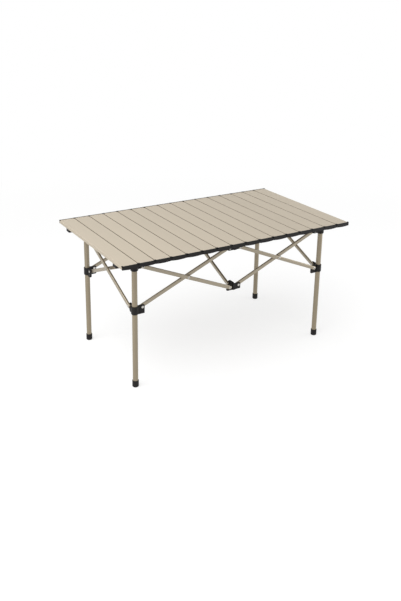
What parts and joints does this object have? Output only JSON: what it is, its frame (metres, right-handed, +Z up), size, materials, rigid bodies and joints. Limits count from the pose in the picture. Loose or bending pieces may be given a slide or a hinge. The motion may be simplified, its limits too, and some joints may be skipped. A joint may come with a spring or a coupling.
{
  "type": "folding camp table",
  "caption": "Low roll-up slatted camp table on a folding frame of crossed bars, with straight round legs, black plastic hubs, sliders and feet.",
  "frame": {"origin": "on the floor, under the middle of the top", "axes": "+X along the long side, to the picture's right; +Y from the near side to the far one; +Z up"},
  "size_m": [0.95, 0.545, 0.484],
  "materials": {
    "slat_metal": "satin champagne coating",
    "leg_metal": "satin champagne anodised",
    "bar_metal": "satin champagne anodised",
    "black_plastic": "matt moulded"
  },
  "bodies": {
    "leg_front_left": {"leg_front_left": "leg_metal", "foot_front_left": "black_plastic", "top_hub_front_left": "black_plastic"},
    "bar_front_left_falling": {"bar_front_left_falling": "bar_metal", "rivet_front_left": "bar_metal"},
    "bar_front_left_rising": {"bar_front_left_rising": "bar_metal"},
    "slider_front_left": {"slider_front_left": "black_plastic"},
    "hub_upper_front": {"hub_upper_front": "black_plastic"},
    "hub_lower_front": {"hub_lower_front": "black_plastic"},
    "bar_centre_falling": {"bar_centre_falling": "bar_metal", "rivet_centre": "bar_metal"},
    "bar_centre_rising": {"bar_centre_rising": "bar_metal"},
    "hub_upper_back": {"hub_upper_back": "black_plastic"},
    "hub_lower_back": {"hub_lower_back": "black_plastic"},
    "bar_front_right_falling": {"bar_front_right_falling": "bar_metal", "rivet_front_right": "bar_metal"},
    "bar_front_right_rising": {"bar_front_right_rising": "bar_metal"},
    "leg_front_right": {"leg_front_right": "leg_metal", "foot_front_right": "black_plastic", "top_hub_front_right": "black_plastic"},
    "slider_front_right": {"slider_front_right": "black_plastic"},
    "bar_left_falling": {"bar_left_falling": "bar_metal", "rivet_left": "bar_metal"},
    "bar_left_rising": {"bar_left_rising": "bar_metal"},
    "leg_back_left": {"leg_back_left": "leg_metal", "foot_back_left": "black_plastic", "top_hub_back_left": "black_plastic"},
    "slider_back_left": {"slider_back_left": "black_plastic"},
    "bar_right_falling": {"bar_right_falling": "bar_metal", "rivet_right": "bar_metal"},
    "bar_right_rising": {"bar_right_rising": "bar_metal"},
    "bar_back_left_falling": {"bar_back_left_falling": "bar_metal", "rivet_back_left": "bar_metal"},
    "bar_back_left_rising": {"bar_back_left_rising": "bar_metal"},
    "bar_back_right_falling": {"bar_back_right_falling": "bar_metal", "rivet_back_right": "bar_metal"},
    "bar_back_right_rising": {"bar_back_right_rising": "bar_metal"},
    "leg_back_right": {"leg_back_right": "leg_metal", "foot_back_right": "black_plastic", "top_hub_back_right": "black_plastic"},
    "slider_back_right": {"slider_back_right": "black_plastic"},
    "slat_01": {"slat_01": "slat_metal"},
    "slat_02": {"slat_02": "slat_metal"},
    "slat_03": {"slat_03": "slat_metal"},
    "slat_04": {"slat_04": "slat_metal"},
    "slat_05": {"slat_05": "slat_metal"},
    "slat_06": {"slat_06": "slat_metal"},
    "slat_07": {"slat_07": "slat_metal"},
    "slat_08": {"slat_08": "slat_metal"},
    "slat_09": {"slat_09": "slat_metal"},
    "slat_10": {"slat_10": "slat_metal"},
    "slat_11": {"slat_11": "slat_metal"},
    "slat_12": {"slat_12": "slat_metal"},
    "slat_13": {"slat_13": "slat_metal"},
    "slat_14": {"slat_14": "slat_metal"},
    "slat_15": {"slat_15": "slat_metal"},
    "slat_16": {"slat_16": "slat_metal"}
  },
  "joints": [
    {"name": "fold", "type": "hinge", "parent": "leg_front_left", "child": "bar_front_left_falling", "pos_m": [-0.37, -0.2025, 0.443], "axis": [0, 1, 0], "range_deg": [0, 60]},
    {"name": "turn_bar_front_left_rising", "type": "hinge", "parent": "bar_front_left_falling", "child": "bar_front_left_rising", "pos_m": [-0.1955, -0.2025, 0.369], "axis": [0, 1, 0], "range_deg": [-120, 0]},
    {"name": "turn_slider_front_left", "type": "hinge", "parent": "bar_front_left_rising", "child": "slider_front_left", "pos_m": [-0.37, -0.2025, 0.295], "axis": [0, 1, 0], "range_deg": [0, 60]},
    {"name": "turn_hub_upper_front", "type": "hinge", "parent": "bar_front_left_rising", "child": "hub_upper_front", "pos_m": [-0.021, -0.2025, 0.443], "axis": [0, 1, 0], "range_deg": [0, 60]},
    {"name": "turn_hub_lower_front", "type": "hinge", "parent": "bar_front_left_falling", "child": "hub_lower_front", "pos_m": [-0.021, -0.2025, 0.295], "axis": [0, 1, 0], "range_deg": [-60, 0]},
    {"name": "turn_bar_centre_falling", "type": "hinge", "parent": "hub_upper_front", "child": "bar_centre_falling", "pos_m": [0, -0.1745, 0.443], "axis": [-1, 0, 0], "range_deg": [0, 60]},
    {"name": "turn_bar_centre_rising", "type": "hinge", "parent": "bar_centre_falling", "child": "bar_centre_rising", "pos_m": [0, 0, 0.369], "axis": [-1, 0, 0], "range_deg": [-120, 0]},
    {"name": "turn_hub_upper_back", "type": "hinge", "parent": "bar_centre_rising", "child": "hub_upper_back", "pos_m": [0, 0.1745, 0.443], "axis": [-1, 0, 0], "range_deg": [0, 60]},
    {"name": "turn_hub_lower_back", "type": "hinge", "parent": "bar_centre_falling", "child": "hub_lower_back", "pos_m": [0, 0.1745, 0.295], "axis": [-1, 0, 0], "range_deg": [-60, 0]},
    {"name": "turn_bar_front_right_falling", "type": "hinge", "parent": "hub_upper_front", "child": "bar_front_right_falling", "pos_m": [0.021, -0.2025, 0.443], "axis": [0, 1, 0], "range_deg": [0, 60]},
    {"name": "turn_bar_front_right_rising", "type": "hinge", "parent": "hub_lower_front", "child": "bar_front_right_rising", "pos_m": [0.021, -0.2025, 0.295], "axis": [0, 1, 0], "range_deg": [-60, 0]},
    {"name": "turn_leg_front_right", "type": "hinge", "parent": "bar_front_right_rising", "child": "leg_front_right", "pos_m": [0.37, -0.2025, 0.443], "axis": [0, 1, 0], "range_deg": [0, 60]},
    {"name": "turn_slider_front_right", "type": "hinge", "parent": "bar_front_right_falling", "child": "slider_front_right", "pos_m": [0.37, -0.2025, 0.295], "axis": [0, 1, 0], "range_deg": [-60, 0]},
    {"name": "turn_bar_left_falling", "type": "hinge", "parent": "leg_front_left", "child": "bar_left_falling", "pos_m": [-0.398, -0.1745, 0.443], "axis": [-1, 0, 0], "range_deg": [0, 60]},
    {"name": "turn_bar_left_rising", "type": "hinge", "parent": "bar_left_falling", "child": "bar_left_rising", "pos_m": [-0.398, 0, 0.369], "axis": [-1, 0, 0], "range_deg": [-120, 0]},
    {"name": "turn_leg_back_left", "type": "hinge", "parent": "bar_left_rising", "child": "leg_back_left", "pos_m": [-0.398, 0.1745, 0.443], "axis": [-1, 0, 0], "range_deg": [0, 60]},
    {"name": "turn_slider_back_left", "type": "hinge", "parent": "bar_left_falling", "child": "slider_back_left", "pos_m": [-0.398, 0.1745, 0.295], "axis": [-1, 0, 0], "range_deg": [-60, 0]},
    {"name": "turn_bar_right_falling", "type": "hinge", "parent": "leg_front_right", "child": "bar_right_falling", "pos_m": [0.398, -0.1745, 0.443], "axis": [-1, 0, 0], "range_deg": [0, 60]},
    {"name": "turn_bar_right_rising", "type": "hinge", "parent": "bar_right_falling", "child": "bar_right_rising", "pos_m": [0.398, 0, 0.369], "axis": [-1, 0, 0], "range_deg": [-120, 0]},
    {"name": "turn_bar_back_left_falling", "type": "hinge", "parent": "leg_back_left", "child": "bar_back_left_falling", "pos_m": [-0.37, 0.2025, 0.443], "axis": [0, 1, 0], "range_deg": [0, 60]},
    {"name": "turn_bar_back_left_rising", "type": "hinge", "parent": "bar_back_left_falling", "child": "bar_back_left_rising", "pos_m": [-0.1955, 0.2025, 0.369], "axis": [0, 1, 0], "range_deg": [-120, 0]},
    {"name": "turn_bar_back_right_falling", "type": "hinge", "parent": "hub_upper_back", "child": "bar_back_right_falling", "pos_m": [0.021, 0.2025, 0.443], "axis": [0, 1, 0], "range_deg": [0, 60]},
    {"name": "turn_bar_back_right_rising", "type": "hinge", "parent": "hub_lower_back", "child": "bar_back_right_rising", "pos_m": [0.021, 0.2025, 0.295], "axis": [0, 1, 0], "range_deg": [-60, 0]},
    {"name": "turn_leg_back_right", "type": "hinge", "parent": "bar_back_right_rising", "child": "leg_back_right", "pos_m": [0.37, 0.2025, 0.443], "axis": [0, 1, 0], "range_deg": [0, 60]},
    {"name": "turn_slider_back_right", "type": "hinge", "parent": "bar_back_right_falling", "child": "slider_back_right", "pos_m": [0.37, 0.2025, 0.295], "axis": [0, 1, 0], "range_deg": [-60, 0]},
    {"name": "lift", "type": "slide", "parent": "leg_front_left", "child": "slat_01", "axis": [0, 0, 1], "range_m": [0, 0.12]},
    {"name": "roll", "type": "hinge", "parent": "slat_01", "child": "slat_02", "pos_m": [-0.41589, 0, 0.484], "axis": [0, -1, 0], "range_deg": [0, 38]},
    {"name": "roll_03", "type": "hinge", "parent": "slat_02", "child": "slat_03", "pos_m": [-0.35647, 0, 0.484], "axis": [0, -1, 0], "range_deg": [0, 38.01]},
    {"name": "roll_04", "type": "hinge", "parent": "slat_03", "child": "slat_04", "pos_m": [-0.29706, 0, 0.484], "axis": [0, -1, 0], "range_deg": [0, 38.51]},
    {"name": "roll_05", "type": "hinge", "parent": "slat_04", "child": "slat_05", "pos_m": [-0.23765, 0, 0.484], "axis": [0, -1, 0], "range_deg": [0, 39.51]},
    {"name": "roll_06", "type": "hinge", "parent": "slat_05", "child": "slat_06", "pos_m": [-0.17824, 0, 0.484], "axis": [0, -1, 0], "range_deg": [0, 40.51]},
    {"name": "roll_07", "type": "hinge", "parent": "slat_06", "child": "slat_07", "pos_m": [-0.11883, 0, 0.484], "axis": [0, -1, 0], "range_deg": [0, 42.01]},
    {"name": "roll_08", "type": "hinge", "parent": "slat_07", "child": "slat_08", "pos_m": [-0.05941, 0, 0.484], "axis": [0, -1, 0], "range_deg": [0, 44.01]},
    {"name": "roll_09", "type": "hinge", "parent": "slat_08", "child": "slat_09", "pos_m": [0, 0, 0.484], "axis": [0, -1, 0], "range_deg": [0, 46.51]},
    {"name": "roll_10", "type": "hinge", "parent": "slat_09", "child": "slat_10", "pos_m": [0.05941, 0, 0.484], "axis": [0, -1, 0], "range_deg": [0, 49.51]},
    {"name": "roll_11", "type": "hinge", "parent": "slat_10", "child": "slat_11", "pos_m": [0.11883, 0, 0.484], "axis": [0, -1, 0], "range_deg": [0, 53.01]},
    {"name": "roll_12", "type": "hinge", "parent": "slat_11", "child": "slat_12", "pos_m": [0.17824, 0, 0.484], "axis": [0, -1, 0], "range_deg": [0, 57.01]},
    {"name": "roll_13", "type": "hinge", "parent": "slat_12", "child": "slat_13", "pos_m": [0.23765, 0, 0.484], "axis": [0, -1, 0], "range_deg": [0, 61.51]},
    {"name": "roll_14", "type": "hinge", "parent": "slat_13", "child": "slat_14", "pos_m": [0.29706, 0, 0.484], "axis": [0, -1, 0], "range_deg": [0, 66.51]},
    {"name": "roll_15", "type": "hinge", "parent": "slat_14", "child": "slat_15", "pos_m": [0.35647, 0, 0.484], "axis": [0, -1, 0], "range_deg": [0, 72.01]},
    {"name": "roll_16", "type": "hinge", "parent": "slat_15", "child": "slat_16", "pos_m": [0.41589, 0, 0.484], "axis": [0, -1, 0], "range_deg": [0, 78.01]}
  ],
  "couplings": [
    {"joint": "turn_bar_front_left_rising", "follows": "fold", "ratio": -2},
    {"joint": "turn_slider_front_left", "follows": "fold", "ratio": 1},
    {"joint": "turn_hub_upper_front", "follows": "fold", "ratio": 1},
    {"joint": "turn_hub_lower_front", "follows": "fold", "ratio": -1},
    {"joint": "turn_bar_centre_falling", "follows": "fold", "ratio": 1},
    {"joint": "turn_bar_centre_rising", "follows": "fold", "ratio": -2},
    {"joint": "turn_hub_upper_back", "follows": "fold", "ratio": 1},
    {"joint": "turn_hub_lower_back", "follows": "fold", "ratio": -1},
    {"joint": "turn_bar_front_right_falling", "follows": "fold", "ratio": 1},
    {"joint": "turn_bar_front_right_rising", "follows": "fold", "ratio": -1},
    {"joint": "turn_leg_front_right", "follows": "fold", "ratio": 1},
    {"joint": "turn_slider_front_right", "follows": "fold", "ratio": -1},
    {"joint": "turn_bar_left_falling", "follows": "fold", "ratio": 1},
    {"joint": "turn_bar_left_rising", "follows": "fold", "ratio": -2},
    {"joint": "turn_leg_back_left", "follows": "fold", "ratio": 1},
    {"joint": "turn_slider_back_left", "follows": "fold", "ratio": -1},
    {"joint": "turn_bar_right_falling", "follows": "fold", "ratio": 1},
    {"joint": "turn_bar_right_rising", "follows": "fold", "ratio": -2},
    {"joint": "turn_bar_back_left_falling", "follows": "fold", "ratio": 1},
    {"joint": "turn_bar_back_left_rising", "follows": "fold", "ratio": -2},
    {"joint": "turn_bar_back_right_falling", "follows": "fold", "ratio": 1},
    {"joint": "turn_bar_back_right_rising", "follows": "fold", "ratio": -1},
    {"joint": "turn_leg_back_right", "follows": "fold", "ratio": 1},
    {"joint": "turn_slider_back_right", "follows": "fold", "ratio": -1},
    {"joint": "roll_03", "follows": "roll", "ratio": 1},
    {"joint": "roll_04", "follows": "roll", "ratio": 1.0132},
    {"joint": "roll_05", "follows": "roll", "ratio": 1.0395},
    {"joint": "roll_06", "follows": "roll", "ratio": 1.0658},
    {"joint": "roll_07", "follows": "roll", "ratio": 1.1053},
    {"joint": "roll_08", "follows": "roll", "ratio": 1.1579},
    {"joint": "roll_09", "follows": "roll", "ratio": 1.2237},
    {"joint": "roll_10", "follows": "roll", "ratio": 1.3026},
    {"joint": "roll_11", "follows": "roll", "ratio": 1.3947},
    {"joint": "roll_12", "follows": "roll", "ratio": 1.5},
    {"joint": "roll_13", "follows": "roll", "ratio": 1.6184},
    {"joint": "roll_14", "follows": "roll", "ratio": 1.75},
    {"joint": "roll_15", "follows": "roll", "ratio": 1.8947},
    {"joint": "roll_16", "follows": "roll", "ratio": 2.0526}
  ]
}
